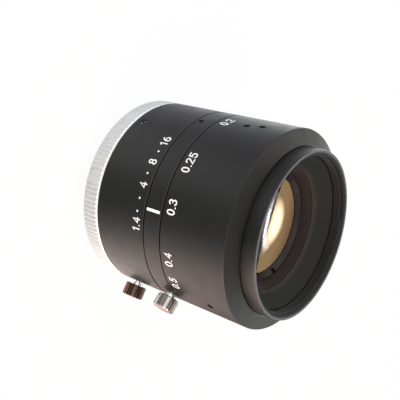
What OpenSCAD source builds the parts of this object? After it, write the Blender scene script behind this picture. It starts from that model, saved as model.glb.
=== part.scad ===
// Machine vision lens with a C-mount, 25 mm focal length, standing on the end of its mount thread.
// Z is the optical axis and points to the front. The mount's flange face is at z = 0.
// The index line faces -Y, and the rings stand where 0.31 m and about f/2.3 are set.

/* [Barrel] */
// Outer radius of the barrel and of its rings
body_r = 25; // [24:0.25:28]
// Length of the bright mount ring
mount_len = 5.4; // [5.2:0.1:6.5]
// Length of the iris ring
iris_len = 16.2; // [15:0.1:18]
// Length of the fixed index ring
index_len = 4.9; // [4.8:0.1:6.5]
// Length of the focus ring behind its front chamfer
focus_len = 18.7; // [17.5:0.1:22]
// Length of the front chamfer
chamfer_len = 1.5; // [1:0.1:2.5]
// Step from the barrel down to the neck
neck_step = 4.1; // [3.9:0.1:5]
// Length of neck in front of the chamfer
neck_len = 3.8; // [3.6:0.1:6]
// Gap at each end of a ring that turns
ring_gap = 0.3; // [0.1:0.05:0.4]
// Bevel on the edges of the rings
edge = 0.15; // [0.1:0.05:0.4]

/* [Mount] */
// Major radius of the mount thread
thread_r = 12.7; // [12.5:0.05:13]
// Length of the mount thread behind the flange
thread_len = 4; // [3.8:0.1:4.5]
// Radius of the clear throat
throat_r = 11.2; // [11.1:0.05:11.5]
// Thickness of the flange round the throat
flange_t = 2.4; // [2.2:0.1:2.6]
// Ribs of the straight knurl
mount_ribs = 130; // [90:1:150]
// Depth of the straight knurl
knurl_depth = 0.3; // [0.2:0.05:0.4]

/* [Walls] */
// Wall of the main barrel under the focusing sleeve
barrel_wall = 1.15; // [1:0.05:1.3]
// Wall of the focusing sleeve
sleeve_wall = 0.9; // [0.8:0.05:1]
// Height of the sleeve's rear flange
flange_step = 0.75; // [0.6:0.05:0.85]
// Height of the helicoid thread
helicoid_height = 0.4; // [0.3:0.05:0.5]
// Length of helicoid on the lens tube
helicoid_len = 4; // [3:0.25:5]
// Wall of the diaphragm cup
cup_wall = 2.8; // [2.6:0.1:3]
// Running clearance of rings and slides
run_gap = 0.05; // [0.03:0.01:0.08]
// Clearance between pieces that are fixed together
seat_gap = 0.02; // [0.01:0.005:0.03]

/* [Focusing] */
// Travel of the lens unit from rest to infinity
travel_back = 1.95; // [1.8:0.05:2.1]
// Travel of the lens unit from rest to the near stop
travel_out = 1.2; // [1.1:0.05:1.4]

/* [Front] */
// Wall of the hood round the filter thread
filter_wall = 1.4; // [1.3:0.05:1.6]
// Length of the filter thread
filter_len = 2.7; // [2.4:0.1:3]
// Radius of the front element as a share of the neck's radius
front_share = 0.641; // [0.63:0.001:0.65]
// Width of the ledge that holds the edge of the front element
front_ledge = 1.1; // [0.9:0.1:1.3]
// Width across the spanner notches
notch_w = 1.2; // [1:0.1:1.6]

/* [Diaphragm] */
// Blades of the diaphragm
blade_count = 6; // [6:1:6]
// Radius of the full opening
open_r = 7.4; // [7.2:0.1:7.6]
// Radius of the smallest opening
small_r = 0.7; // [0.6:0.1:1.5]
// Width of a blade
blade_w = 5.2; // [4.9:0.1:5.4]
// Thickness of a blade
blade_t = 0.16; // [0.12:0.01:0.2]
// Height from one blade to the next
blade_pitch = 0.28; // [0.26:0.01:0.32]
// Angle from a blade's pivot to its tip
blade_sweep = 95; // [92:1:105]
// Distance from a blade's pivot to its drive pin
crank_len = 3; // [2.8:0.1:3.2]
// Angle of the crank when fully open
crank_angle = 60; // [55:1:65]
// Radius of the pins on the blades
pin_r = 0.45; // [0.35:0.05:0.5]
// Turn of the iris ring from rest to f/1.4
iris_to_open = 10; // [9:0.5:11]
// Turn of the iris ring from rest to f/16
iris_to_small = 39; // [37:0.5:40]

/* [Lock screws] */
// Radius of a knurled head
head_r = 2.8; // [2.4:0.1:3]
// Length of a knurled head
head_len = 3.3; // [2.8:0.1:4]
// Ribs on a knurled head
head_ribs = 18; // [16:1:28]
// Radius of the screw thread
lock_r = 1; // [0.9:0.05:1.1]
// Length of the brass pad under a lock screw
pad_len = 0.9; // [0.7:0.05:1.1]
// How far the iris lock is backed off
iris_backoff = 0.15; // [0.1:0.05:0.4]
// How far the focus lock is backed off
focus_backoff = 0.25; // [0.2:0.05:0.3]

/* [Hidden] */
$fn = 96;

black = "#2a292b";
satin_black = "#38373a";
silver = "#d2d2d4";
steel = "#b9b9bd";
brass = "#b99b52";
glass = [0.72, 0.8, 0.78, 0.45];

// Stations along the axis
z_iris = mount_len;
z_index = z_iris + iris_len;
z_focus = z_index + index_len;
z_chamfer = z_focus + focus_len;
z_mouth = z_chamfer + chamfer_len;
z_rim = z_mouth + neck_len;

// Radii, from the neck to the rings
neck_r = body_r - neck_step;
neck_gap = 0.1;
thread_step = 0.5;
helicoid_r = neck_r - thread_step;
tube_r = helicoid_r - helicoid_height;
barrel_bore_r = tube_r + run_gap;
focus_seat_r = barrel_bore_r + barrel_wall;
sleeve_bore_r = focus_seat_r + run_gap;
sleeve_r = sleeve_bore_r + sleeve_wall;
flange_r = sleeve_r + flange_step;
index_seat_step = 0.7;
iris_seat_step = 0.5;
index_seat_r = focus_seat_r + index_seat_step;
iris_seat_r = index_seat_r + iris_seat_step;

// Focusing stations: each piece clears the next one at both ends of the travel
end_gap = 0.15;
neck_back_z = z_mouth - travel_out - thread_step;
sleeve_front_z = neck_back_z - travel_back - end_gap;
helicoid_front_z = sleeve_front_z - thread_step;
helicoid_back_z = helicoid_front_z - helicoid_len;
barrel_front_z = helicoid_back_z - travel_back - 2 * end_gap;

// Index ring: a web on the barrel, and a lip that traps the sleeve's flange
web_len = 2.2;
lip_len = 1.1;
z_web = z_index + web_len;
z_lip = z_focus - lip_len;
flange_gap = 0.1;

// Spigot and screws that join the mount to the main barrel
spigot_len = 1;
spigot_step = 0.55;
spigot_r = barrel_bore_r + spigot_step;
mount_screw_r = 0.8;
mount_screw_len = 9.4;
mount_head_r = 1.5;
mount_screw_pcr = (barrel_bore_r + iris_seat_r) / 2;
mount_screw_angles = [60, 180, 300];

// Guide key on the far side of the index line
key_w = 2.4;
key_len = 6;
key_depth = 1.25;
key_angle = 90;
key_inset = 3.5;
key_z = z_focus + key_inset;
key_screw_r = 0.7;
key_screw_inset = 1.5;
key_screw_z = tube_r - 0.4;
key_screw_heights = [key_z + key_screw_inset, key_z + key_len - key_screw_inset];

// Iris drive: a screw in the iris ring reaches through both walls to the cam ring's arm
drive_angle = -139.5;
drive_inset = 2.7;
drive_z = z_iris + drive_inset;
drive_screw_r = 0.9;
drive_pin_r = 0.6;
drive_play = 0.1;
// The drive pin stops this many degrees before the ends of its slots
slot_margin = 0.25;
pin_reach = 0.4;

// Diaphragm stack
joint_inset = 2.4;
z_joint = z_index + joint_inset;
plate_t = 1;
cup_r = tube_r - cup_wall;
cam_r = cup_r - run_gap;
spigot_t = 0.8;
pivot_plate_z = z_joint - spigot_t - plate_t;
stack_gap = 0.1;
stack_t = (blade_count - 1) * blade_pitch + blade_t;
blade_z = pivot_plate_z - 1.5 * stack_gap - stack_t;
cam_z = blade_z - stack_gap - plate_t;
pivot_inset = 2.95;
pivot_r = cam_r - pivot_inset;
iris_turn = iris_to_open + iris_to_small;
blade_turn = 2 * asin((open_r - small_r) / (2 * pivot_r));
blade_ratio = blade_turn / iris_turn;
blade_rest = blade_ratio * iris_to_open;
ear_r = 0.85;
blade_root = -8;
blade_heel = 26;
pin_clear = 0.06;
arm_t = 0.95;
arm_angle = 22;
cam_lead = 2.6;
plate_step = 0.25;

// Rear barrel: a cup for the diaphragm on the tube that holds the rear elements
cup_gap = 0.25;
cup_back_z = flange_t + travel_back + cup_gap;
cup_floor_t = 0.8;
tail_inset = 2.5;
tail_z = tail_inset - thread_len;
cell_wall = 2.9;
tail_wall = 1.8;

// Glass: each surface has a vertex height and a radius of curvature, positive when it bulges to the front
front_v = z_mouth - 4.4;
front_t = 4.2;
front_lens_r = neck_r * front_share;
front_clear_r = front_lens_r - front_ledge;
front_curve = [32, 60];
second_v = front_v - front_t - 1.2;
second_t = 4.4;
second_share = 0.836;
second_r = front_lens_r * second_share;
second_bulge = 1.696;
second_curve = [second_bulge * second_r, 80];
third_v = second_v - second_t;
third_t = 1.5;
third_share = 0.759;
third_clear_r = second_r * third_share;
third_bulge = 1.47;
third_curve = third_bulge * third_clear_r;
third_rear_z = height_at(third_v - third_t, third_curve, third_clear_r);
second_ledge = 0.6;
lip_clear_r = second_r - second_ledge;
fourth_t = 1.5;
fourth_r = 8.6;
fourth_hollow = 1.744;
fourth_curve = [-fourth_hollow * fourth_r, 60];
stop_ring_len = 1.4;
stop_gap = 0.46;
fourth_v = cam_z - stop_gap - stop_ring_len - seat_gap - height_at(0, fourth_curve[0], fourth_r);
fifth_v = fourth_v - fourth_t;
fifth_t = 5.3;
fifth_curve = -18;
sixth_v = fifth_v - fifth_t - 0.6;
sixth_t = 4.2;
sixth_step = 0.2;
sixth_r = fourth_r + sixth_step;
sixth_curve = [28, -40];
rear_ledge = 0.7;
rear_clear_r = fourth_r - rear_ledge;
stop_ledge = 0.9;
stop_clear_r = fourth_r - stop_ledge;
tail_r = sixth_r + tail_wall;
ring_wall = 1;
inner_ring_len = 1.5;
rear_ring_len = 1.8;
spanner_depth = 0.6;

// Threaded ring that holds the front element, with two notches for a spanner
retainer_r = front_lens_r + ring_wall;
retainer_len = 1.34;
retainer_z = height_at(front_v, front_curve[0], front_clear_r) + seat_gap;
notch_angle = 24.8;
notch_depth = 0.8;

// Hood: steps that kill stray light, then a cone out to the filter thread
step_count = 3;
step_rise = 0.35;
step_len = 0.76;
cone_step = 0.4;
filter_r = neck_r - filter_wall;
cone_r = filter_r - cone_step;
rim_len = 0.6;
rim_wall = 0.5;
hood_z = retainer_z + retainer_len;
cone_z = hood_z + step_count * step_len;
filter_z = z_rim - rim_len - filter_len;

// Small screws
grub_r = 0.8;
grub_depth = 0.35;
hex_r = 0.42;
hex_depth = 1;
index_grub_r = 0.7;
index_grub_inset = 1.35;
index_grub_z = z_index + index_grub_inset;
index_grub_angles = [-150.9, -15.9, 89.1];
rear_row = 8.35;
front_row = 11.9;
focus_grubs = concat(
    [for (a = [-156.3, 23.7]) [a, z_focus + rear_row]],
    [for (a = [-159, -39, 81]) [a, z_focus + front_row]]
);
iris_lock_angle = -20.1;
iris_lock_inset = 3.8;
iris_lock_z = z_iris + iris_lock_inset;
focus_lock_angle = -32;
focus_lock_z = (z_web + z_lip) / 2;
collar_r = 1.6;
collar_len = 0.7;
collar_gap = 0.2;
head_bevel = 0.25;
head_rib_depth = 0.28;

// Height of a lens surface at radius r, from its vertex and its radius of curvature
function height_at(v, curve, r) = v - curve + sign(curve) * sqrt(curve * curve - r * r);
function polar(r, a) = [r * cos(a), r * sin(a)];
function arc(centre, r, a0, a1, steps) = [
    for (i = [0 : steps]) centre + polar(r, a0 + (a1 - a0) * i / steps)
];
function turned_by(p, a) = [p[0] * cos(a) - p[1] * sin(a), p[0] * sin(a) + p[1] * cos(a)];

// Place of a blade's drive pin in the cam ring, with the iris ring t degrees from fully open
function cam_point(t) = turned_by(
    [pivot_r, 0] + polar(crank_len, crank_angle + blade_ratio * t), iris_to_open - t);
function cam_side(t, w) = let (d = cam_point(t + 0.5) - cam_point(t - 0.5))
    cam_point(t) + w / norm(d) * [-d[1], d[0]];

// A washer from z0 to z1
module ring(r_out, r_in, z0, z1) {
    translate([0, 0, z0])
        difference() {
            cylinder(r = r_out, h = z1 - z0);
            translate([0, 0, -1]) cylinder(r = r_in, h = z1 - z0 + 2);
        }
}

// A solid cut for a bore from z0 to z1
module bore(r, z0, z1) {
    translate([0, 0, z0]) cylinder(r = r, h = z1 - z0);
}

// A solid of revolution from a profile of [radius, height] points
module turned(points) {
    rotate_extrude() polygon(points);
}

// Children drawn along X are set on a radius at an angle and a height
module radial(angle, z) {
    rotate([0, 0, angle]) translate([0, 0, z]) rotate([0, 90, 0]) children();
}

// A rod along a radius, from r0 to r1
module rod(r, r0, r1) {
    translate([0, 0, r0]) cylinder(r = r, h = r1 - r0);
}

// A slot milled round the axis through a wall, between two drilled ends
module round_slot(r0, r1, z, half_w, a0, a1) {
    rotate([0, 0, a0]) rotate_extrude(angle = a1 - a0)
        translate([r0, z - half_w]) square([r1 - r0, 2 * half_w]);
    for (a = [a0, a1]) radial(a, z) rod(half_w + seat_gap, r0, r1);
}

// A disc with straight ribs round its edge; a form is a list of [share of the pitch, depth] corners
module ribbed(r, count, h, form) {
    pitch = 360 / count;
    linear_extrude(h) polygon([
        for (i = [0 : count - 1], corner = form) polar(r - corner[1], (i + corner[0]) * pitch)
    ]);
}

// A headless screw along a radius, with a hexagon socket in its outer end
module grub_screw(angle, z, r, r0, r1) {
    radial(angle, z) difference() {
        rod(r, r0, r1);
        translate([0, 0, r1 - hex_depth]) cylinder(r = hex_r, h = hex_depth + 1, $fn = 6);
    }
}

// Glass between two curved surfaces
module element(r, v_front, curve_front, v_back, curve_back) {
    z_low = min(v_back, height_at(v_back, curve_back, r));
    z_high = max(v_front, height_at(v_front, curve_front, r));
    color(glass) difference() {
        intersection() {
            bore(r, z_low, z_high);
            if (curve_front > 0) translate([0, 0, v_front - curve_front]) sphere(r = curve_front);
            if (curve_back < 0) translate([0, 0, v_back - curve_back]) sphere(r = -curve_back);
        }
        if (curve_front < 0) translate([0, 0, v_front - curve_front]) sphere(r = -curve_front);
        if (curve_back > 0) translate([0, 0, v_back - curve_back]) sphere(r = curve_back);
    }
}

// Mount ring with its knurled edge, thread and throat
module c_mount() {
    bevel = 0.7;
    thread_bevel = 0.4;
    relief_w = 0.95;
    relief_depth = 0.5;
    color(silver) difference() {
        union() {
            intersection() {
                ribbed(body_r, mount_ribs, mount_len, [[0, knurl_depth], [0.5, 0]]);
                turned([
                    [0, 0], [body_r - bevel, 0], [body_r + bevel, 2 * bevel],
                    [body_r + bevel, mount_len - 3 * bevel], [body_r - bevel / 2, mount_len], [0, mount_len]
                ]);
            }
            turned([
                [0, 1], [0, -thread_len], [thread_r - thread_bevel, -thread_len],
                [thread_r, thread_bevel - thread_len], [thread_r, 1]
            ]);
        }
        ring(thread_r + relief_w, thread_r, -1, relief_depth);
        bore(throat_r, -thread_len - 1, mount_len + 1);
        bore(barrel_bore_r, flange_t, mount_len + 1);
        bore(spigot_r + seat_gap, mount_len - spigot_len, mount_len + 1);
        for (a = mount_screw_angles) rotate([0, 0, a]) translate([mount_screw_pcr, 0, 0])
            mount_screw_form(seat_gap);
    }
}

// A countersunk screw, or the hole for it when it is grown
module mount_screw_form(grow) {
    turned([
        [0, -grow], [mount_head_r + grow, -grow], [mount_head_r + grow, 0],
        [mount_screw_r + grow, mount_head_r - mount_screw_r],
        [mount_screw_r + grow, mount_screw_len + grow], [0, mount_screw_len + grow]
    ]);
}

module mount_screws() {
    cross = [1.5, 0.35, 0.45];
    color(steel) for (a = mount_screw_angles) rotate([0, 0, a]) translate([mount_screw_pcr, 0, 0])
        difference() {
            mount_screw_form(0);
            for (t = [0, 90]) rotate([0, 0, t])
                translate([0, 0, cross[2] / 2 - seat_gap]) cube(cross, center = true);
        }
}

// Fixed barrel: the rings turn on its outside and the lens unit slides in its bore
module main_barrel() {
    color(black) difference() {
        turned([
            [barrel_bore_r, mount_len - spigot_len], [spigot_r, mount_len - spigot_len],
            [spigot_r, mount_len], [iris_seat_r, mount_len], [iris_seat_r, z_index],
            [index_seat_r, z_index], [index_seat_r, z_web], [focus_seat_r, z_web],
            [focus_seat_r, barrel_front_z], [barrel_bore_r, barrel_front_z]
        ]);
        for (a = mount_screw_angles) rotate([0, 0, a]) translate([mount_screw_pcr, 0, 0])
            mount_screw_form(seat_gap);
        round_slot(barrel_bore_r - 1, iris_seat_r + 1, drive_z, drive_pin_r + drive_play,
            drive_angle - iris_to_open - slot_margin, drive_angle + iris_to_small + slot_margin);
        rotate([0, 0, key_angle]) translate([barrel_bore_r - 1, -key_w / 2 - seat_gap, key_z - seat_gap])
            cube([barrel_wall + 2, key_w + 2 * seat_gap, key_len + 2 * seat_gap]);
    }
}

// Straight key that keeps the lens unit from turning
module guide_key() {
    color(steel) difference() {
        rotate([0, 0, key_angle]) intersection() {
            translate([tube_r - key_depth, -key_w / 2, key_z])
                cube([key_depth + barrel_wall, key_w, key_len]);
            bore(focus_seat_r, key_z - 1, key_z + key_len + 1);
        }
        for (z = key_screw_heights) radial(key_angle, z) rod(key_screw_r + seat_gap, key_screw_z, body_r);
    }
}

module guide_key_screws() {
    slot = [0.3, 1.5, 0.35];
    color(steel) for (z = key_screw_heights) radial(key_angle, z) difference() {
        rod(key_screw_r, key_screw_z + seat_gap, focus_seat_r - run_gap);
        translate([0, 0, focus_seat_r - run_gap]) cube(slot, center = true);
    }
}

// Fixed ring that carries the index line and traps the focusing sleeve
module index_ring() {
    color(black) difference() {
        turned([
            [index_seat_r + seat_gap, z_index], [body_r - edge, z_index], [body_r, z_index + edge],
            [body_r, z_focus - edge], [body_r - edge, z_focus], [sleeve_r + neck_gap, z_focus],
            [sleeve_r + neck_gap, z_lip], [flange_r + run_gap, z_lip], [flange_r + run_gap, z_web],
            [index_seat_r + seat_gap, z_web]
        ]);
        for (a = index_grub_angles) radial(a, index_grub_z)
            rod(index_grub_r + seat_gap, index_seat_r - 1, body_r + 1);
        radial(focus_lock_angle, focus_lock_z) rod(lock_r + run_gap, flange_r - thread_step, body_r + 1);
    }
}

module index_set_screws() {
    color(steel) for (a = index_grub_angles)
        grub_screw(a, index_grub_z, index_grub_r,
            index_seat_r + seat_gap, body_r - grub_depth);
}

module iris_ring() {
    z0 = z_iris + ring_gap;
    z1 = z_index - ring_gap;
    color(black) difference() {
        turned([
            [iris_seat_r + run_gap, z0], [body_r - edge, z0], [body_r, z0 + edge],
            [body_r, z1 - edge], [body_r - edge, z1], [iris_seat_r + run_gap, z1]
        ]);
        radial(drive_angle, drive_z) rod(drive_screw_r + seat_gap, iris_seat_r - 1, body_r + 1);
        radial(iris_lock_angle, iris_lock_z) rod(lock_r + run_gap, iris_seat_r - 1, body_r + 1);
    }
}

// Screw whose long tip turns the cam ring with the iris ring
module iris_drive_screw() {
    color(steel) union() {
        grub_screw(drive_angle, drive_z, drive_screw_r, iris_seat_r + 2 * run_gap, body_r - grub_depth);
        radial(drive_angle, drive_z) rod(drive_pin_r, cam_r - arm_t - pin_reach, iris_seat_r + 1);
    }
}

// Knurled screw: r_seat is what its pad presses on, and backoff is how far both are backed off from it
module lock_screw(angle, z, r_seat, backoff) {
    r_pad = r_seat + backoff + pad_len;
    r_head = body_r + collar_len + collar_gap + backoff;
    color(steel) radial(angle, z) union() {
        rod(lock_r, r_pad + seat_gap, r_head);
        rod(collar_r, r_head - collar_len, r_head);
        translate([0, 0, r_head]) intersection() {
            ribbed(head_r, head_ribs, head_len, [
                [0.2, head_rib_depth], [0.35, 0], [0.85, 0], [1, head_rib_depth]
            ]);
            turned([
                [0, 0], [head_r - head_bevel, 0], [head_r + head_bevel, 2 * head_bevel],
                [head_r + head_bevel, head_len - 2 * head_bevel], [head_r - head_bevel, head_len],
                [0, head_len]
            ]);
        }
    }
}

module lock_pad(angle, z, r_seat) {
    color(brass) radial(angle, z) rod(lock_r, r_seat, r_seat + pad_len);
}

module iris_lock_pad() { lock_pad(iris_lock_angle, iris_lock_z, iris_seat_r + iris_backoff); }
module iris_lock_screw() {
    lock_screw(iris_lock_angle, iris_lock_z, iris_seat_r, iris_backoff);
}
module focus_lock_pad() { lock_pad(focus_lock_angle, focus_lock_z, flange_r + focus_backoff); }
module focus_lock_screw() {
    lock_screw(focus_lock_angle, focus_lock_z, flange_r, focus_backoff);
}

// Focus ring: a shell on the sleeve, chamfered down to the mouth that the neck slides in
module focus_ring() {
    z0 = z_focus + ring_gap;
    shoulder_z = sleeve_front_z + seat_gap;
    mouth_r = neck_r + neck_gap;
    land = 0.25;
    color(black) difference() {
        turned([
            [sleeve_r + seat_gap, z0], [body_r - edge, z0], [body_r, z0 + edge], [body_r, z_chamfer - edge],
            [body_r - edge / 2, z_chamfer], [mouth_r + land, z_mouth], [mouth_r, z_mouth],
            [mouth_r, shoulder_z], [sleeve_r + seat_gap, shoulder_z]
        ]);
        for (g = focus_grubs) radial(g[0], g[1])
            rod(grub_r + seat_gap, sleeve_r - 1, body_r + 1);
    }
}

module focus_set_screws() {
    color(steel) for (g = focus_grubs)
        grub_screw(g[0], g[1], grub_r, sleeve_r + seat_gap, body_r - grub_depth);
}

// Brass sleeve that turns with the focus ring and drives the lens unit by its helicoid
module helicoid_sleeve() {
    color(brass) turned([
        [sleeve_bore_r, z_web + flange_gap], [flange_r, z_web + flange_gap], [flange_r, z_lip - flange_gap],
        [sleeve_r, z_lip - flange_gap], [sleeve_r, sleeve_front_z], [helicoid_r + run_gap, sleeve_front_z],
        [helicoid_r + run_gap, barrel_front_z + end_gap], [sleeve_bore_r, barrel_front_z + end_gap]
    ]);
}

// Lens tube with the neck and hood in front; the front group sits in it
module front_barrel() {
    relief_r = tube_r + helicoid_height / 3;
    lip_z = height_at(second_v, second_curve[0], lip_clear_r) + seat_gap;
    seat_z = height_at(front_v - front_t, front_curve[1], front_lens_r) - seat_gap;
    seat_r = front_lens_r - ring_wall;
    cell_z = height_at(front_v, front_curve[0], front_lens_r);
    color(satin_black) difference() {
        turned([
            [0, z_joint - spigot_t], [cup_r - seat_gap, z_joint - spigot_t], [cup_r - seat_gap, z_joint],
            [tube_r, z_joint], [tube_r, helicoid_back_z], [helicoid_r, helicoid_back_z],
            [helicoid_r, helicoid_front_z], [relief_r, helicoid_front_z], [relief_r, neck_back_z],
            [neck_r, neck_back_z], [neck_r, z_rim - rim_len], [neck_r - edge, z_rim], [0, z_rim]
        ]);
        bore(second_r + seat_gap, z_joint - 2, lip_z);
        bore(lip_clear_r, z_joint, lip_z + 1);
        bore(seat_r, lip_z + 0.9, seat_z + 1);
        bore(front_lens_r + seat_gap, seat_z, cell_z + 1);
        bore(retainer_r + seat_gap, cell_z - seat_gap, hood_z);
        for (i = [0 : step_count - 1])
            bore(retainer_r + (i + 1) * step_rise,
                hood_z + i * step_len - seat_gap, hood_z + (i + 1) * step_len);
        turned([
            [0, cone_z - seat_gap], [retainer_r + step_count * step_rise, cone_z - seat_gap],
            [cone_r, filter_z], [0, filter_z]
        ]);
        bore(filter_r, filter_z - seat_gap, z_rim + 1);
        turned([
            [0, z_rim - rim_len], [filter_r, z_rim - rim_len], [neck_r - edge - rim_wall, z_rim],
            [neck_r - edge - rim_wall, z_rim + 1], [0, z_rim + 1]
        ]);
        rotate([0, 0, key_angle]) translate([
            tube_r - key_depth - run_gap, -key_w / 2 - run_gap, key_z - travel_out - end_gap
        ]) cube([key_depth + 1, key_w + 2 * run_gap, key_len + travel_out + travel_back + 2 * end_gap]);
    }
}

module front_retaining_ring() {
    slope = 0.3;
    color(satin_black) difference() {
        turned([
            [front_clear_r, retainer_z], [retainer_r, retainer_z], [retainer_r, hood_z],
            [retainer_r - ring_wall, hood_z], [front_clear_r, retainer_z + slope]
        ]);
        for (a = [0, 180]) rotate([0, 0, notch_angle + a])
            translate([front_clear_r, -notch_w / 2, hood_z - notch_depth]) cube([3, notch_w, 2]);
    }
}

module front_element() {
    element(front_lens_r, front_v, front_curve[0], front_v - front_t, front_curve[1]);
}
module second_element() {
    element(second_r, second_v, second_curve[0], third_v, second_curve[1]);
}
module third_element() {
    z_rear = third_rear_z;
    color(glass) difference() {
        intersection() {
            bore(second_r, z_rear, third_v + 1);
            translate([0, 0, third_v - second_curve[1]]) sphere(r = second_curve[1]);
        }
        translate([0, 0, third_v - third_t - third_curve]) sphere(r = third_curve);
    }
}

// Threaded ring behind the cemented pair
module inner_retaining_ring() {
    z1 = third_rear_z - seat_gap;
    z0 = z1 - inner_ring_len;
    color(satin_black) difference() {
        ring(second_r, third_clear_r, z0, z1);
        for (a = [0, 180]) rotate([0, 0, a]) translate([0, -notch_w / 2, z0 - spanner_depth])
            cube([second_r + 1, notch_w, 2 * spanner_depth]);
    }
}

// Plate with the holes that the blades pivot in
module blade_pivot_plate() {
    color(satin_black) difference() {
        ring(cup_r - seat_gap, open_r + plate_step, pivot_plate_z, pivot_plate_z + plate_t - seat_gap);
        for (i = [0 : blade_count - 1]) rotate([0, 0, i * 360 / blade_count])
            translate([pivot_r, 0, pivot_plate_z - 1]) cylinder(r = pin_r + pin_clear, h = plate_t + 2);
    }
}

// Cup for the diaphragm on the tube that holds the rear elements
module rear_barrel() {
    low_z = drive_z - travel_out - drive_pin_r - drive_play;
    high_z = drive_z + travel_back + drive_pin_r + drive_play;
    lip_low = height_at(sixth_v, sixth_curve[0], rear_clear_r) + seat_gap;
    lip_high = height_at(fifth_v - fifth_t, fifth_curve, rear_clear_r) - seat_gap;
    floor_z = cup_back_z + cup_floor_t;
    cell_r = fourth_r + cell_wall;
    color(satin_black) difference() {
        turned([
            [0, tail_z], [tail_r - edge, tail_z], [tail_r, tail_z + edge], [tail_r, cup_back_z],
            [tube_r, cup_back_z], [tube_r, z_joint], [cup_r, z_joint], [cup_r, floor_z],
            [cell_r, floor_z], [cell_r, cam_z - run_gap], [0, cam_z - run_gap]
        ]);
        bore(sixth_r + seat_gap, tail_z - 1, lip_low);
        bore(rear_clear_r, lip_low - 1, lip_high + 1);
        bore(fourth_r + seat_gap, lip_high, cam_z + 1);
        round_window(cup_r - 1, tube_r + 1, low_z, high_z,
            drive_angle - iris_to_open, drive_angle + iris_to_small, drive_pin_r + drive_play);
    }
}

// A window round the axis through a wall, from z0 to z1, that clears a pin at both ends
module round_window(r0, r1, z0, z1, a0, a1, half_w) {
    spare = asin(half_w / r0) + slot_margin;
    rotate([0, 0, a0 - spare]) rotate_extrude(angle = a1 - a0 + 2 * spare)
        translate([r0, z0]) square([r1 - r0, z1 - z0]);
}

module fourth_element() {
    element(fourth_r, fourth_v, fourth_curve[0], fifth_v, fourth_curve[1]);
}
module fifth_element() {
    element(fourth_r, fifth_v, fourth_curve[1], fifth_v - fifth_t, fifth_curve);
}
module sixth_element() {
    element(sixth_r, sixth_v, sixth_curve[0], sixth_v - sixth_t, sixth_curve[1]);
}

// Threaded ring in front of the cemented rear pair
module stop_retaining_ring() {
    z0 = height_at(fourth_v, fourth_curve[0], fourth_r) + seat_gap;
    color(satin_black) ring(fourth_r, stop_clear_r, z0, z0 + stop_ring_len);
}

// Threaded ring behind the rear element, with spanner notches
module rear_retaining_ring() {
    z1 = height_at(sixth_v - sixth_t, sixth_curve[1], rear_clear_r) - seat_gap;
    z0 = z1 - rear_ring_len;
    color(satin_black) difference() {
        ring(sixth_r, rear_clear_r, z0, z1);
        for (a = [0, 180]) rotate([0, 0, a]) translate([0, -notch_w / 2, z0 - spanner_depth])
            cube([sixth_r + 1, notch_w, 2 * spanner_depth]);
    }
}

// Ring with a curved slot for each blade and an arm that the iris ring drives
module cam_ring() {
    half_slot = pin_r + pin_clear;
    ends = [-cam_lead, iris_turn + cam_lead];
    steps = 14;
    times = [for (i = [0 : steps]) ends[0] + i * (ends[1] - ends[0]) / steps];
    arm_back_z = drive_z - travel_out - 2 * drive_pin_r;
    slot_top_z = drive_z + travel_back + 1.5 * drive_pin_r;
    color(brass) difference() {
        union() {
            ring(cam_r, open_r + plate_step, cam_z, cam_z + plate_t);
            rotate([0, 0, drive_angle - arm_angle / 2]) rotate_extrude(angle = arm_angle)
                translate([cam_r - arm_t, arm_back_z]) square([arm_t, cam_z + plate_t / 2 - arm_back_z]);
        }
        for (i = [0 : blade_count - 1]) rotate([0, 0, i * 360 / blade_count])
            translate([0, 0, cam_z - 1]) linear_extrude(plate_t + 2) polygon(concat(
                [for (t = times) cam_side(t, half_slot)],
                [for (i = [steps : -1 : 0]) cam_side(times[i], -half_slot)]
            ));
        rotate([0, 0, drive_angle]) translate([cam_r - 2, -drive_pin_r - run_gap, arm_back_z - 1])
            cube([4, 2 * (drive_pin_r + run_gap), slot_top_z - arm_back_z + 1]);
    }
}

// One leaf of the diaphragm: pivot pin in front, drive pin behind, each at its own height
module blade(i) {
    z = blade_z + i * blade_pitch;
    mid_r = open_r + blade_w / 2;
    pivot = [pivot_r, 0];
    drive = pivot + polar(crank_len, crank_angle);
    side = crank_angle - 90;
    tip_round = 75;
    tip = blade_sweep + 90;
    outline = concat(
        arc([0, 0], open_r, blade_root, blade_sweep, 14),
        arc(polar(mid_r, blade_sweep), blade_w / 2, tip + tip_round, tip - tip_round, 8),
        arc([0, 0], open_r + blade_w, blade_sweep, blade_heel, 10),
        arc(drive, ear_r, side + 140, side, 6),
        arc(pivot, ear_r, side, side - 90, 5)
    );
    color(steel) rotate([0, 0, i * 360 / blade_count]) translate([pivot_r, 0, 0])
        rotate([0, 0, blade_rest]) translate([-pivot_r, 0, 0]) union() {
            translate([0, 0, z]) linear_extrude(blade_t) polygon(outline);
            translate([pivot[0], pivot[1], z + blade_t / 2])
                cylinder(r = pin_r, h = pivot_plate_z + plate_t - stack_gap - z);
            translate([drive[0], drive[1], cam_z + stack_gap])
                cylinder(r = pin_r, h = z + blade_t / 2 - cam_z - stack_gap);
        }
}
module blade_1() { blade(0); }
module blade_2() { blade(1); }
module blade_3() { blade(2); }
module blade_4() { blade(3); }
module blade_5() { blade(4); }
module blade_6() { blade(5); }

c_mount();
mount_screws();
main_barrel();
index_ring();
index_set_screws();
guide_key();
guide_key_screws();
iris_ring();
iris_drive_screw();
iris_lock_screw();
iris_lock_pad();
focus_ring();
helicoid_sleeve();
focus_set_screws();
focus_lock_screw();
focus_lock_pad();
front_barrel();
front_retaining_ring();
front_element();
second_element();
third_element();
inner_retaining_ring();
blade_pivot_plate();
rear_barrel();
fourth_element();
fifth_element();
sixth_element();
stop_retaining_ring();
rear_retaining_ring();
cam_ring();
blade_1();
blade_2();
blade_3();
blade_4();
blade_5();
blade_6();
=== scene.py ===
import math

import bmesh
import bpy
from mathutils import Matrix, Vector


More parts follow.
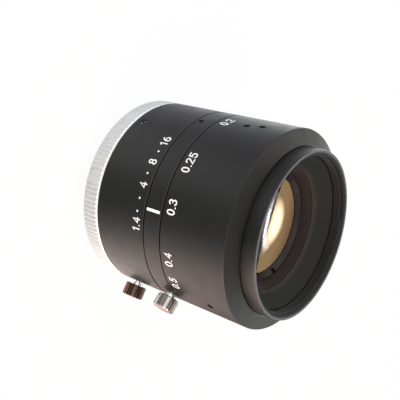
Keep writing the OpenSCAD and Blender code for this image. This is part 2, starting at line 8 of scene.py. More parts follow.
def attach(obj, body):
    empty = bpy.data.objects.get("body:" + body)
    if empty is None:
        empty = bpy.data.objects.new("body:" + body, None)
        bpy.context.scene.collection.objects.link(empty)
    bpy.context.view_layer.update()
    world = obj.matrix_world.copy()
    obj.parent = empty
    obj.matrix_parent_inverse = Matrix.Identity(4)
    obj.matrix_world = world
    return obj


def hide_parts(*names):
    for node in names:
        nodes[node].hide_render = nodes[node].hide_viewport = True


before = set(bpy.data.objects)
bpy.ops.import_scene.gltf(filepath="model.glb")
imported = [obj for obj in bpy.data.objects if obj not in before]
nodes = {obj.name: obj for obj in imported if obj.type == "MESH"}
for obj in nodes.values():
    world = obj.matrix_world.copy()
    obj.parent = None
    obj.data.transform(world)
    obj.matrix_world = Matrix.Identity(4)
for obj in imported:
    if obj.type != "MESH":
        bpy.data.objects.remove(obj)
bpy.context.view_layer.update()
print("frame loaded,", len(nodes), "nodes")

mm = 0.001

# the main sizes of the barrel, in mm, as in the CAD model
barrel = {
    "radius": 25.0,
    "threadRadius": 12.7,
    "filterRadius": 19.5,
    "floorHeight": -4.0,
}


def addNode(tree, kind, inputs=None, **settings):
    node = tree.nodes.new(kind)
    for key, value in settings.items():
        setattr(node, key, value)
    for key, value in (inputs or {}).items():
        setInput(tree, node.inputs[key], value)
    return node


def setInput(tree, socket, value):
    if isinstance(value, bpy.types.NodeSocket):
        tree.links.new(value, socket)
    else:
        socket.default_value = value


def newMaterial(name, inputs):
    material = bpy.data.materials.new(name)
    material.use_nodes = True
    tree = material.node_tree
    shader = tree.nodes["Principled BSDF"]
    for key, value in inputs.items():
        shader.inputs[key].default_value = value
    return material, tree, shader


def objectPlace(tree, stretch=(1, 1, 1)):
    # object coordinates, stretched so that a pattern can run round the barrel
    coords = addNode(tree, "ShaderNodeTexCoord")
    mapping = addNode(tree, "ShaderNodeMapping", {"Vector": coords.outputs["Object"], "Scale": stretch})
    return mapping.outputs["Vector"]


def noiseValue(tree, place, scale, detail=2.0, rough=0.5):
    inputs = {"Vector": place, "Scale": scale, "Detail": detail, "Roughness": rough}
    return addNode(tree, "ShaderNodeTexNoise", inputs).outputs["Fac"]


def spread(tree, value, low, high, fromLow=0.3, fromHigh=0.7):
    inputs = {"Value": value, "From Min": fromLow, "From Max": fromHigh, "To Min": low, "To Max": high}
    return addNode(tree, "ShaderNodeMapRange", inputs).outputs["Result"]


def blendColours(tree, factor, first, second):
    mix = addNode(tree, "ShaderNodeMix", data_type="RGBA")
    for socket, value in ((0, factor), (6, first), (7, second)):
        setInput(tree, mix.inputs[socket], value)
    return mix.outputs[2]


def blendValues(tree, factor, first, second):
    return addNode(tree, "ShaderNodeMix", {0: factor, 2: first, 3: second}).outputs[0]


def combine(tree, first, second, operation="ADD"):
    return addNode(tree, "ShaderNodeMath", {0: first, 1: second}, operation=operation).outputs[0]


def addBump(tree, shader, height, depth):
    bump = addNode(tree, "ShaderNodeBump", {"Height": height, "Distance": depth})
    tree.links.new(bump.outputs["Normal"], shader.inputs["Normal"])


def radiusAndHeight(tree):
    coords = addNode(tree, "ShaderNodeTexCoord")
    split = addNode(tree, "ShaderNodeSeparateXYZ", {"Vector": coords.outputs["Object"]})
    flat = addNode(tree, "ShaderNodeCombineXYZ", {"X": split.outputs["X"], "Y": split.outputs["Y"]})
    length = addNode(tree, "ShaderNodeVectorMath", {0: flat.outputs["Vector"]}, operation="LENGTH")
    return length.outputs["Value"], split.outputs["Z"]


blackFinish = {
    "dark": (0.0035, 0.0033, 0.0032, 1),
    "light": (0.0055, 0.0052, 0.005, 1),
    "roughness": (0.33, 0.43),
    "specular": 0.5,
    "turnedDepth": 0.000003,
}


def makeBlackAnodised(name):
    look = blackFinish
    material, tree, shader = newMaterial(name, {"Specular IOR Level": look["specular"]})
    cloudy = noiseValue(tree, objectPlace(tree), 260, 3)
    setInput(tree, shader.inputs["Base Color"], blendColours(tree, cloudy, look["dark"], look["light"]))
    setInput(tree, shader.inputs["Roughness"], spread(tree, cloudy, *look["roughness"]))
    rings = noiseValue(tree, objectPlace(tree, (0.03, 0.03, 1)), 9000, 2)
    grain = noiseValue(tree, objectPlace(tree), 14000, 1)
    addBump(tree, shader, combine(tree, rings, grain), look["turnedDepth"])
    return material, tree, shader


hoodFinish = {
    "colour": (0.0085, 0.008, 0.007, 1),
    # painted warm reflection on the steps deep in the hood, below stepHeights
    "stepReflectionColour": (0.048, 0.036, 0.034, 1),
    "stepHeights": (43.0, 44.6),
    "roughness": 0.62,
    "specular": 0.3,
    # the rim's painted highlight colour
    "rimHighlightColour": (0.045, 0.043, 0.04, 1),
    "edgeRoughness": 0.45,
    "insideRadius": 20.35,
    "rimHeight": 50.32,
}


def makeTubeFinish(name):
    # satin outside, dull inside with a painted warm reflection on the deep steps, and a painted highlight on the rim
    look = hoodFinish
    material, tree, shader = makeBlackAnodised(name)
    radius, height = radiusAndHeight(tree)
    inside = combine(tree, radius, look["insideRadius"] * mm, "LESS_THAN")
    atRim = combine(tree, height, look["rimHeight"] * mm, "GREATER_THAN")
    colour = shader.inputs["Base Color"]
    # deep in the well, below stepHeights, the colour turns to a painted warm reflection
    low, high = look["stepHeights"]
    above = spread(tree, height, 0.0, 1.0, low * mm, high * mm)
    well = blendColours(tree, above, look["stepReflectionColour"], look["colour"])
    wall = blendColours(tree, inside, colour.links[0].from_socket, well)
    # the rim is painted lighter: a painted highlight
    setInput(tree, colour, blendColours(tree, atRim, wall, look["rimHighlightColour"]))
    specular = shader.inputs["Specular IOR Level"]
    setInput(tree, specular, blendValues(tree, inside, blackFinish["specular"], look["specular"]))
    roughness = shader.inputs["Roughness"]
    wall = blendValues(tree, inside, roughness.links[0].from_socket, look["roughness"])
    setInput(tree, roughness, blendValues(tree, atRim, wall, look["edgeRoughness"]))
    return material


def makeCloudyBlack(name, dark, light, roughness, specular, depth):
    material, tree, shader = newMaterial(name, {"Specular IOR Level": specular})
    cloudy = noiseValue(tree, objectPlace(tree), 800, 3)
    setInput(tree, shader.inputs["Base Color"], blendColours(tree, cloudy, dark, light))
    setInput(tree, shader.inputs["Roughness"], spread(tree, cloudy, *roughness))
    addBump(tree, shader, noiseValue(tree, objectPlace(tree, (0.05, 0.05, 1)), 8000, 2), depth)
    return material


def makeMetal(name, dark, light, roughness, stretch, depth, metallic=1.0):
    # bright metal with the lines that the tool left
    material, tree, shader = newMaterial(name, {"Metallic": metallic})
    cloudy = noiseValue(tree, objectPlace(tree), 500, 3)
    lines = noiseValue(tree, objectPlace(tree, stretch), 6000, 2)
    shade = combine(tree, cloudy, lines, "MULTIPLY")
    setInput(tree, shader.inputs["Base Color"], blendColours(tree, shade, dark, light))
    setInput(tree, shader.inputs["Roughness"], spread(tree, lines, *roughness))
    addBump(tree, shader, lines, depth)
    return material


# the band in front of the mount's knurl, from this height in mm, painted white: a painted highlight along the front
# edge
mountBandHighlight = {"height": 4.85, "colour": (1.0, 1.0, 1.0, 1)}


def makeMountFinish(*metal):
    material = makeMetal(*metal)
    tree = material.node_tree
    colour = tree.nodes["Principled BSDF"].inputs["Base Color"]
    _, height = radiusAndHeight(tree)
    inBandHighlight = combine(tree, height, mountBandHighlight["height"] * mm, "GREATER_THAN")
    # the band is painted white: a painted highlight
    setInput(tree, colour, blendColours(tree, inBandHighlight, colour.links[0].from_socket, mountBandHighlight["colour"]))
    return material


# the end of a lock screw's head, out to this radius in mm from the lens's axis, painted light: a painted highlight
screwCollarHighlight = {"radius": 26.15, "colour": (0.75, 0.77, 0.74, 1)}


def makeRibbed(name, grooveShade, crests, roughness):
    # metal with painted shade between the ribs and a painted highlight on the collar
    material, tree, shader = newMaterial(name, {"Metallic": 1.0, "Roughness": roughness})
    height = addNode(tree, "ShaderNodeNewGeometry").outputs["Pointiness"]
    # hollows between the ribs are painted dark: painted shade
    shade = blendColours(tree, spread(tree, height, 0.0, 1.0, 0.5, 0.54), grooveShade, crests)
    radius, _ = radiusAndHeight(tree)
    # the collar is painted light: a painted highlight
    collarHighlight = combine(tree, radius, screwCollarHighlight["radius"] * mm, "LESS_THAN")
    setInput(tree, shader.inputs["Base Color"], blendColours(tree, collarHighlight, shade, screwCollarHighlight["colour"]))
    return material


def makeGlass(name, tint, index, mirrorColour, mirrorShare):
    # bends light both ways and throws a little back from its outer side
    material, tree, shader = newMaterial(name, {})
    tree.nodes.remove(shader)
    clear = addNode(tree, "ShaderNodeBsdfRefraction", {"Color": tint, "Roughness": 0.0, "IOR": index})
    mirror = addNode(tree, "ShaderNodeBsdfAnisotropic", {"Color": mirrorColour, "Roughness": 0.0})
    side = addNode(tree, "ShaderNodeNewGeometry").outputs["Backfacing"]
    outside = combine(tree, 1.0, side, "SUBTRACT")
    share = combine(tree, outside, mirrorShare, "MULTIPLY")
    mix = addNode(tree, "ShaderNodeMixShader", {0: share, 1: clear.outputs[0], 2: mirror.outputs[0]})
    setInput(tree, tree.nodes["Material Output"].inputs["Surface"], mix.outputs[0])
    return material, tree, mix.outputs[0], outside


# the light that the coated faces throw back together, as one hollow mirror of this radius in mm
innerMirror = {
    "radius": 37,
    "colour": (1.0, 0.64, 0.31, 1),
    "share": 0.22,
    "roughness": 0.03,
}


def makeFrontGlass(*glass):
    look = innerMirror
    material, tree, plain, outside = makeGlass(*glass)
    coords = addNode(tree, "ShaderNodeTexCoord")
    inputs = {0: coords.outputs["Object"], 1: (-1, -1, 0), 2: (0, 0, look["radius"] * mm)}
    leaning = addNode(tree, "ShaderNodeVectorMath", inputs, operation="MULTIPLY_ADD")
    normal = addNode(tree, "ShaderNodeVectorMath", {0: leaning.outputs[0]}, operation="NORMALIZE")
    inputs = {"Color": look["colour"], "Roughness": look["roughness"], "Normal": normal.outputs[0]}
    mirror = addNode(tree, "ShaderNodeBsdfAnisotropic", inputs)
    share = combine(tree, outside, look["share"], "MULTIPLY")
    mix = addNode(tree, "ShaderNodeMixShader", {0: share, 1: plain, 2: mirror.outputs[0]})
    setInput(tree, tree.nodes["Material Output"].inputs["Surface"], mix.outputs[0])
    return material


finishes = {
    "black": makeBlackAnodised("blackAnodised")[0],
    "tube": makeTubeFinish("tubeBlack"),
    "dull": makeCloudyBlack(
        "dullBlack", (0.006, 0.0058, 0.006, 1), (0.012, 0.0115, 0.011, 1), (0.5, 0.68), 0.3, 0.000006
    ),
    # the thread's black is painted lighter than the hood's: painted light that makes up for the shade in its grooves
    "thread": makeCloudyBlack(
        "threadBlackPaintedFill", (0.018, 0.017, 0.016, 1), (0.03, 0.028, 0.026, 1), (0.5, 0.68), 0.3, 0.000006
    ),
    # the retaining ring's black is lifted and tinted warm: a painted warm reflection
    "gloss": makeCloudyBlack(
        "glossBlackPaintedSheen", (0.018, 0.012, 0.011, 1), (0.03, 0.02, 0.018, 1), (0.25, 0.35), 0.22, 0.000003
    ),
    "chrome": makeMountFinish(
        "satinChrome", (0.57, 0.59, 0.6, 1), (0.86, 0.88, 0.88, 1), (0.28, 0.4), (0.35, 0.35, 0.015), 0.000003, 0.22
    ),
    "nickel": makeRibbed("brightNickel", (0.008, 0.007, 0.006, 1), (0.38, 0.36, 0.35, 1), 0.13),
    # the iris lock screw's brown crests are a painted brown reflection
    "brownReflectionNickel": makeRibbed("nickelWithPaintedBrownReflection", (0.01, 0.007, 0.006, 1), (0.125, 0.073, 0.062, 1), 0.25),
    "steel": makeMetal(
        "plainSteel", (0.4, 0.4, 0.41, 1), (0.7, 0.7, 0.71, 1), (0.16, 0.3), (1, 1, 1), 0.000003
    ),
    "blade": makeMetal(
        "bladeSteel", (0.03, 0.03, 0.034, 1), (0.07, 0.07, 0.075, 1), (0.35, 0.5), (1, 0.05, 1), 0.000002
    ),
    "brass": makeMetal(
        "turnedBrass", (0.55, 0.4, 0.17, 1), (0.78, 0.6, 0.3, 1), (0.25, 0.38), (0.04, 0.04, 1), 0.000004
    ),
    "frontGlass": makeFrontGlass("frontGlass", (0.98, 0.97, 0.96, 1), 1.6, (1.0, 0.93, 1.0, 1), 0.045),
    "innerGlass": makeGlass("innerGlass", (0.95, 0.92, 0.9, 1), 1.6, (1.0, 1.0, 1.0, 1), 0.08)[0],
}

nodeFinishes = {
    "black": ["main_barrel", "index_ring", "iris_ring", "focus_ring"],
    "tube": ["front_barrel"],
    "dull": [
        "inner_retaining_ring",
        "stop_retaining_ring",
        "rear_retaining_ring",
        "rear_barrel",
        "blade_pivot_plate",
    ],
    "gloss": ["front_retaining_ring"],
    "chrome": ["c_mount"],
    "nickel": ["focus_lock_screw"],
    "brownReflectionNickel": ["iris_lock_screw"],
    "steel": [
        "mount_screws",
        "index_set_screws",
        "guide_key",
        "guide_key_screws",
        "iris_drive_screw",
        "focus_set_screws",
    ],
    "blade": ["blade_" + str(i) for i in range(1, 7)],
    "brass": ["helicoid_sleeve", "cam_ring", "iris_lock_pad", "focus_lock_pad"],
    "frontGlass": ["front_element"],
    "innerGlass": ["second_element", "third_element", "fourth_element", "fifth_element", "sixth_element"],
}


def paintNodes():
    for finish, names in nodeFinishes.items():
        for name in names:
            slots = nodes[name].data.materials
            if not len(slots):
                slots.append(finishes[finish])
            for i in range(len(slots)):
                slots[i] = finishes[finish]


paintNodes()
print("finishes made")


def makePiece(name, bm, material, body):
    mesh = bpy.data.meshes.new(name)
    bm.to_mesh(mesh)
    bm.free()
    mesh.materials.append(material)
    piece = bpy.data.objects.new(name, mesh)
    bpy.context.scene.collection.objects.link(piece)
    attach(piece, body)
    return piece


def makePaint(name):
    material, tree, shader = newMaterial(name, {"Specular IOR Level": 0.3, "Roughness": 0.5})
    cloudy = noiseValue(tree, objectPlace(tree), 3000, 2)
    shade = blendColours(tree, cloudy, (0.84, 0.84, 0.84, 1), (0.96, 0.96, 0.96, 1))
    setInput(tree, shader.inputs["Base Color"], shade)
    addBump(tree, shader, cloudy, 0.000006)
    return material


dial = {
    "digitHeight": 2.4,
    "stroke": 0.36,
    "digitWidth": 0.5,
    "spacing": 0.25,
    "dotRadius": 0.27,
    "thickness": 0.03,
    "irisHeight": 19.2,
    "focusHeight": 29.2,
    "fixedAngle": -100.1,
    "paint": makePaint("dialPaint"),
}
irisMarks = [
    ("1.4", 20.5),
    ("dot", 13.0),
    ("dot", 5.8),
    ("4", -1.5),
    ("dot", -8.2),
    ("8", -15.1),
    ("dot", -21.7),
    ("16", -28.8),
]
focusMarks = [
    ("0.2", -56.0),
    ("0.25", -20.0),
    ("0.3", 5.3),
    ("0.4", 34.7),
    ("0.5", 51.3),
    ("1", 86.0),
    ("∞", 121.0),
]
indexLine = {"width": 0.7, "length": 4.05, "height": 24.07, "angle": -90.0}


def bend(centreX, centreY, radiusX, radiusY, start, end, steps):
    points = []
    for i in range(steps + 1):
        turn = math.radians(start + (end - start) * i / steps)
        points.append((centreX + radiusX * math.cos(turn), centreY + radiusY * math.sin(turn)))
    return points


def loopOfInfinity(halfWidth, height, steps):
    points = []
    for i in range(steps):
        turn = 2 * math.pi * i / steps
        share = 1 + math.sin(turn) ** 2
        x = halfWidth * (1 + math.cos(turn) / share)
        points.append((x, 0.4 + height * math.sin(turn) * math.cos(turn) / share))
    return points


# the engraver's path for each sign, one unit high: (points, whether the path is closed)
paths = {
    "0": [(bend(0.25, 0.5, 0.25, 0.5, 0, 345, 23), True)],
    "1": [([(0.1, 0.78), (0.3, 1), (0.3, 0)], False)],
    "2": [(bend(0.25, 0.74, 0.25, 0.26, 165, -25, 12) + [(0.02, 0), (0.52, 0)], False)],
    "3": [
        (
            bend(0.24, 0.765, 0.22, 0.235, 160, -90, 14) + bend(0.24, 0.265, 0.26, 0.265, 90, -160, 14)[1:],
            False,
        )
    ],
    "4": [([(0.4, 0), (0.4, 1), (0, 0.3), (0.55, 0.3)], False)],
    "5": [([(0.48, 1), (0.08, 1), (0.04, 0.55)] + bend(0.24, 0.32, 0.26, 0.32, 125, -150, 14), False)],
    "6": [
        (bend(0.26, 0.31, 0.25, 0.31, 0, 340, 19), True),
        (bend(0.42, 0.36, 0.41, 0.64, 180, 95, 8), False),
    ],
    "8": [
        (bend(0.25, 0.77, 0.21, 0.23, -90, 250, 17), True),
        (bend(0.25, 0.27, 0.25, 0.27, 90, 430, 19), True),
    ],
    ".": [([(0, 0), (0.03, 0)], False)],
    "∞": [(loopOfInfinity(0.45, 0.9, 32), True)],
}
pathWidths = {"1": 0.42, ".": 0.03, "∞": 0.9}


def addStroke(bm, points, closed, halfWidth):
    # a flat band along a path, with round ends where the path is open
    count = len(points)
    stations = []
    for i, point in enumerate(points):
        before = points[i - 1] if i or closed else point
        after = points[(i + 1) % count] if i < count - 1 or closed else point
        first = Vector(point) - Vector(before)
        second = Vector(after) - Vector(point)
        first = first.normalized() if first.length else second.normalized()
        second = second.normalized() if second.length else first
        along = (first + second).normalized()
        wide = halfWidth / max(0.6, along.dot(first))
        stations.append((Vector(point), along, wide))
    if not closed:
        tips = [(math.sin(math.radians(a)), math.cos(math.radians(a))) for a in (30, 60, 86)]
        start, along, _ = stations[0]
        head = [(start - along * halfWidth * s, along, halfWidth * c) for s, c in reversed(tips)]
        end, along, _ = stations[-1]
        tail = [(end + along * halfWidth * s, along, halfWidth * c) for s, c in tips]
        stations = head + stations + tail
    pairs = []
    for place, along, wide in stations:
        side = Vector((-along.y, along.x)) * wide
        pairs.append([bm.verts.new((p.x, p.y, 0)) for p in (place + side, place - side)])
    rungs = list(zip(pairs, pairs[1:] + pairs[:1])) if closed else list(zip(pairs, pairs[1:]))
    for near, far in rungs:
        bm.faces.new((near[0], near[1], far[1], far[0]))


def flatWord(word):
    bm = bmesh.new()
    if word == "dot":
        bmesh.ops.create_circle(bm, cap_ends=True, segments=20, radius=dial["dotRadius"])
        return bm
    rise = dial["digitHeight"] - dial["stroke"]
    x = 0.0
    for sign in word:
        for points, closed in paths[sign]:
            placed = [(x + px * rise, py * rise) for px, py in points]
            addStroke(bm, placed, closed, dial["stroke"] / 2)
        x += pathWidths.get(sign, dial["digitWidth"]) * rise + dial["stroke"] + dial["spacing"]
    width = x - dial["stroke"] - dial["spacing"]
    bmesh.ops.translate(bm, verts=bm.verts[:], vec=(-width / 2, -rise / 2, 0))
    return bm


def wrapOnBarrel(bm, angle, height):
    # lays a flat form on the barrel: its x runs round it and its y points to the mount
    radius = barrel["radius"]
    thickness = dial["thickness"]
    reach = max(abs(v.co.x) for v in bm.verts)
    cuts = int(reach / 0.3) + 1
    for i in range(-cuts, cuts + 1):
        geom = bm.verts[:] + bm.edges[:] + bm.faces[:]
        bmesh.ops.bisect_plane(bm, geom=geom, plane_co=(i * 0.3, 0, 0), plane_no=(1, 0, 0))
    solid = bmesh.ops.extrude_face_region(bm, geom=bm.faces[:])
    raised = [v for v in solid["geom"] if isinstance(v, bmesh.types.BMVert)]
    bmesh.ops.translate(bm, verts=raised, vec=(0, 0, thickness))
    for v in bm.verts:
        turn = math.radians(angle) - v.co.x / radius
        out = radius - thickness * 0.7 + v.co.z
        v.co = Vector((out * math.cos(turn), out * math.sin(turn), height - v.co.y)) * mm
    bmesh.ops.recalc_face_normals(bm, faces=bm.faces[:])


def makeMarks():
    for scaleName, marks, height, body in (
        ("iris", irisMarks, dial["irisHeight"], "iris_ring"),
        ("focus", focusMarks, dial["focusHeight"], "focus_ring"),
    ):
        for i, (word, angle) in enumerate(marks):
            bm = flatWord(word)
            wrapOnBarrel(bm, dial["fixedAngle"] + angle, height)
            makePiece(scaleName + "Mark" + str(i + 1), bm, dial["paint"], body)
    bm = bmesh.new()
    bmesh.ops.create_grid(bm, x_segments=1, y_segments=1, size=0.5)
    bmesh.ops.scale(bm, verts=bm.verts[:], vec=(indexLine["width"], indexLine["length"], 1))
    wrapOnBarrel(bm, indexLine["angle"], indexLine["height"])
    makePiece("indexLine", bm, dial["paint"], "barrel")


makeMarks()
print("dial marks made")


def threadRidge(outward, root, crest, pitch, low, high, steps):
    # one ridge that winds round the axis, closed at both ends
    bm = bmesh.new()
    half = pitch * 0.46
    buried = root - outward * 0.06
    corners = [
        (buried, -half),
        (root, -half),
        (crest, -half * 0.14),
        (crest, half * 0.14),
        (root, half),
        (buried, half),
    ]
    verts = [bm.verts.new((r * mm, 0, (low + half + z) * mm)) for r, z in corners]
    face = bm.faces.new(verts)
    rise = high - low - 2 * half
    count = int(rise / pitch * steps)
    bmesh.ops.spin(
        bm,
        geom=[face],
        cent=(0, 0, 0),
        axis=(0, 0, 1),
        dvec=(0, 0, rise * mm / count),
        angle=rise / pitch * 2 * math.pi,
        steps=count,
        use_duplicate=False,
    )
    bmesh.ops.remove_doubles(bm, verts=bm.verts[:], dist=0.0000005)
    bmesh.ops.recalc_face_normals(bm, faces=bm.faces[:])
    return bm


filterThread = {"pitch": 0.5, "depth": 0.27, "low": 47.25, "high": 49.85, "steps": 90}


def makeFilterThread():
    look = filterThread
    root = barrel["filterRadius"]
    bm = threadRidge(-1, root, root - look["depth"], look["pitch"], look["low"], look["high"], look["steps"])
    makePiece("filterThread", bm, finishes["thread"], "lens_unit")


makeFilterThread()

mountThread = {"pitch": 0.794, "depth": 0.46, "low": -3.55, "high": 0.3, "steps": 80}


def makeMountRing():
    # the CAD mount with its plain thread turned down, and a wound ridge on the core
    look = mountThread
    outer = barrel["threadRadius"] * mm
    core = outer - look["depth"] * mm
    bm = bmesh.new()
    bm.from_mesh(nodes["c_mount"].data)
    bmesh.ops.remove_doubles(bm, verts=bm.verts[:], dist=0.000002)

    def onThread(v):
        return abs(v.co.xy.length - outer) < 0.00001 and -0.0037 < v.co.z < 0.0006

    wall = [f for f in bm.faces if all(onThread(v) for v in f.verts)]
    bmesh.ops.delete(bm, geom=wall, context="FACES_ONLY")
    edges = [e for e in bm.edges if e.is_boundary]
    inner = bmesh.ops.extrude_edge_only(bm, edges=edges)["geom"]
    innerVerts = [v for v in inner if isinstance(v, bmesh.types.BMVert)]
    innerEdges = [e for e in inner if isinstance(e, bmesh.types.BMEdge)]
    bmesh.ops.scale(bm, verts=innerVerts, vec=(core / outer, core / outer, 1))
    bmesh.ops.bridge_loops(bm, edges=innerEdges)
    bmesh.ops.recalc_face_normals(bm, faces=bm.faces[:])
    ridge = threadRidge(
        1, core / mm, outer / mm - 0.01, look["pitch"], look["low"], look["high"], look["steps"]
    )
    ridgeMesh = bpy.data.meshes.new("ridge")
    ridge.to_mesh(ridgeMesh)
    ridge.free()
    bm.from_mesh(ridgeMesh)
    bpy.data.meshes.remove(ridgeMesh)
    piece = makePiece("mountRing", bm, finishes["chrome"], "barrel")
    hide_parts("c_mount")


makeMountRing()
print("threads made")

# what the shiny pieces see: the floor's glow by bearing from the camera's side, and the sky's by height
surroundings = {
    "floorSize": 3.0,
    "floorColour": (0.95, 0.95, 0.95, 1),
    "shadowShare": 0.06,
    "skyLight": 0.8,
    "floorGlow": [
        (-180, (3.2, 3.25, 3.3)),
        (-150, (2.1, 2.13, 2.16)),
        (-120, (0.93, 0.96, 1.01)),
        (-95, (0.62, 0.62, 0.68)),
        (-70, (0.56, 0.56, 0.59)),
        (-50, (0.87, 0.87, 0.87)),
        (-30, (0.95, 0.94, 0.94)),
        (-10, (0.46, 0.46, 0.45)),
        (10, (0.33, 0.37, 0.37)),
        (30, (0.97, 0.91, 0.88)),
        (50, (2.15, 1.82, 1.7)),
        (70, (2.35, 1.98, 1.83)),
        (95, (1.3, 1.02, 0.94)),
        (125, (0.3, 0.22, 0.2)),
        (150, (0.4, 0.4, 0.4)),
        (180, (3.2, 3.25, 3.3)),
    ],
    "window": {"direction": (0.18, 0.87, 0.46), "size": (0.1, 0.6, 0.13), "glow": 8.5, "colour": (0.75, 0.92, 1.25, 1)},
    "arc": {
        "axis": (0.099, 0.909, 0.503),
        "offset": 0.999,
        "middle": 0.12,
        "across": (0.006, 0.016),
        "along": (0.12, 0.3),
        "glow": 30.0,
    },
    "skyGlow": [(0.0, (0.3, 0.2, 0.15)), (0.3, (1.15, 1.25, 1.1)), (0.6, (1.25, 1.25, 1.25)), (1.0, (0.5, 0.4, 0.35))],
}


def glowRamp(tree, position, stops):
    # a colour by position from 0 to 1; the colours may be brighter than white
    ramp = addNode(tree, "ShaderNodeValToRGB", {"Fac": position})
    elements = ramp.color_ramp.elements
    brightest = max(max(colour) for _, colour in stops)
    while len(elements) < len(stops):
        elements.new(0.5)
    for element, (place, colour) in zip(elements, stops):
        element.position = place
        element.color = tuple(c / brightest for c in colour) + (1,)
    return ramp.outputs["Color"], brightest


def seenDirectly(tree):
    # 1 for rays of the camera and rays through glass
    paths = addNode(tree, "ShaderNodeLightPath")
    return (
        combine(tree, paths.outputs["Is Camera Ray"], paths.outputs["Is Transmission Ray"], "MAXIMUM"),
        paths.outputs["Is Glossy Ray"],
    )


def makeFloor():
    look = surroundings
    bm = bmesh.new()
    bmesh.ops.create_grid(bm, x_segments=1, y_segments=1, size=look["floorSize"] / 2)
    bmesh.ops.translate(bm, verts=bm.verts[:], vec=(0, 0, (barrel["floorHeight"] - 0.02) * mm))
    mesh = bpy.data.meshes.new("floor")
    bm.to_mesh(mesh)
    bm.free()
    material, tree, shader = newMaterial("floorWhite", {"Roughness": 0.9, "Specular IOR Level": 0.0})
    shader.inputs["Base Color"].default_value = look["floorColour"]
    coords = addNode(tree, "ShaderNodeTexCoord")
    split = addNode(tree, "ShaderNodeSeparateXYZ", {"Vector": coords.outputs["Object"]})
    back = combine(tree, split.outputs["Y"], -1.0, "MULTIPLY")
    bearing = combine(tree, split.outputs["X"], back, "ARCTAN2")
    position = combine(tree, combine(tree, bearing, 2 * math.pi, "DIVIDE"), 0.5)
    stops = [(bearingStop / 360 + 0.5, colour) for bearingStop, colour in look["floorGlow"]]
    glowColour, glowStrength = glowRamp(tree, position, stops)
    glow = addNode(tree, "ShaderNodeEmission", {"Color": glowColour, "Strength": glowStrength})
    white = addNode(tree, "ShaderNodeEmission", {"Color": (1, 1, 1, 1), "Strength": 1.0})
    direct, glossy = seenDirectly(tree)
    share = combine(tree, direct, 1 - look["shadowShare"], "MULTIPLY")
    lit = addNode(tree, "ShaderNodeMixShader", {0: share, 1: shader.outputs[0], 2: white.outputs[0]})
    mix = addNode(tree, "ShaderNodeMixShader", {0: glossy, 1: lit.outputs[0], 2: glow.outputs[0]})
    setInput(tree, tree.nodes["Material Output"].inputs["Surface"], mix.outputs[0])
    mesh.materials.append(material)
    floor = bpy.data.objects.new("floor", mesh)
    bpy.context.scene.collection.objects.link(floor)


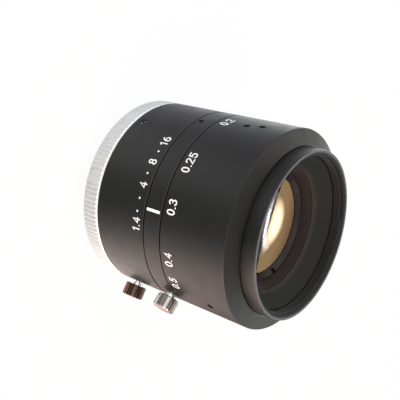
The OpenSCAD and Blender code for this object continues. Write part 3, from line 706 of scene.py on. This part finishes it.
def makeWorld():
    look = surroundings
    world = bpy.data.worlds.new("studio")
    bpy.context.scene.world = world
    world.use_nodes = True
    tree = world.node_tree
    tree.nodes.clear()
    coords = addNode(tree, "ShaderNodeTexCoord")
    split = addNode(tree, "ShaderNodeSeparateXYZ", {"Vector": coords.outputs["Generated"]})
    glowColour, glowStrength = glowRamp(tree, split.outputs["Z"], look["skyGlow"])
    direct, glossy = seenDirectly(tree)
    plain = blendValues(tree, direct, look["skyLight"], 1.0)
    even = addNode(tree, "ShaderNodeBackground", {"Color": (1, 1, 1, 1), "Strength": plain})
    glow = addNode(tree, "ShaderNodeBackground", {"Color": glowColour, "Strength": glowStrength})
    # a window, and an arc of light that only a clean mirror face shows
    window = look["window"]
    inputs = {0: coords.outputs["Generated"], 1: window["direction"]}
    away = addNode(tree, "ShaderNodeVectorMath", inputs, operation="SUBTRACT")
    inputs = {0: away.outputs[0], 1: window["size"]}
    away = addNode(tree, "ShaderNodeVectorMath", inputs, operation="DIVIDE")
    away = addNode(tree, "ShaderNodeVectorMath", {0: away.outputs[0]}, operation="LENGTH")
    pane = spread(tree, away.outputs["Value"], window["glow"], 0.0, 0.5, 1.25)
    clean = addNode(tree, "ShaderNodeLightPath").outputs["Is Singular Ray"]
    pane = combine(tree, pane, combine(tree, 1.0, clean, "SUBTRACT"), "MULTIPLY")
    arc = look["arc"]
    inputs = {0: coords.outputs["Generated"], 1: arc["axis"]}
    across = addNode(tree, "ShaderNodeVectorMath", inputs, operation="DOT_PRODUCT").outputs["Value"]
    across = combine(tree, combine(tree, across, arc["offset"], "SUBTRACT"), 0.0, "ABSOLUTE")
    along = combine(tree, combine(tree, split.outputs["X"], arc["middle"], "SUBTRACT"), 0.0, "ABSOLUTE")
    band = combine(
        tree, spread(tree, across, 1.0, 0.0, *arc["across"]), spread(tree, along, 1.0, 0.0, *arc["along"]), "MULTIPLY"
    )
    band = combine(tree, combine(tree, band, clean, "MULTIPLY"), arc["glow"], "MULTIPLY")
    bright = addNode(tree, "ShaderNodeBackground", {"Color": window["colour"], "Strength": pane})
    white = addNode(tree, "ShaderNodeBackground", {"Color": (1, 1, 1, 1), "Strength": band})
    bright = addNode(tree, "ShaderNodeAddShader", {0: bright.outputs[0], 1: white.outputs[0]})
    glow = addNode(tree, "ShaderNodeAddShader", {0: glow.outputs[0], 1: bright.outputs[0]})
    mix = addNode(tree, "ShaderNodeMixShader", {0: glossy, 1: even.outputs[0], 2: glow.outputs[0]})
    output = addNode(tree, "ShaderNodeOutputWorld")
    tree.links.new(mix.outputs[0], output.inputs["Surface"])


# place in m, size in m, power in W, colour
lamps = {
    "coolKey": ((-0.42, -0.1, 0.3), 0.5, 0.6, (0.86, 0.93, 1.0)),
    "warmFill": ((0.4, -0.22, 0.12), 0.35, 1.7, (1.0, 0.66, 0.5)),
    "frontSoft": ((-0.1, -0.3, 0.5), 0.4, 0.5, (1.0, 0.99, 0.97)),
}


def makeLamps():
    middle = Vector((0, 0, 0.025))
    for name, (place, size, power, colour) in lamps.items():
        light = bpy.data.lights.new(name, "AREA")
        light.shape = "SQUARE"
        light.size = size
        light.energy = power
        light.color = colour
        lamp = bpy.data.objects.new(name, light)
        lamp.location = place
        lamp.rotation_euler = (middle - Vector(place)).to_track_quat("-Z", "Y").to_euler()
        bpy.context.scene.collection.objects.link(lamp)


view = {
    "lens": 57.195,
    "place": (-25.07, -134.46, 117.8),
    "right": (-0.1855, 0.6066, 0.7729),
    "back": (-0.1417, -0.7952, 0.5896),
}


def makeCamera():
    data = bpy.data.cameras.new("camera")
    data.sensor_width = 36
    data.lens = view["lens"]
    data.clip_start = 0.01
    data.clip_end = 10
    camera = bpy.data.objects.new("camera", data)
    right = Vector(view["right"]).normalized()
    back = Vector(view["back"]).normalized()
    up = back.cross(right)
    turn = Matrix((right, up, back)).transposed().to_4x4()
    camera.matrix_world = Matrix.Translation(Vector(view["place"]) * mm) @ turn
    bpy.context.scene.collection.objects.link(camera)
    bpy.context.scene.camera = camera


makeFloor()
makeWorld()
makeLamps()
makeCamera()
bpy.context.scene.view_settings.view_transform = "Standard"
print("stage, lamps and camera made")
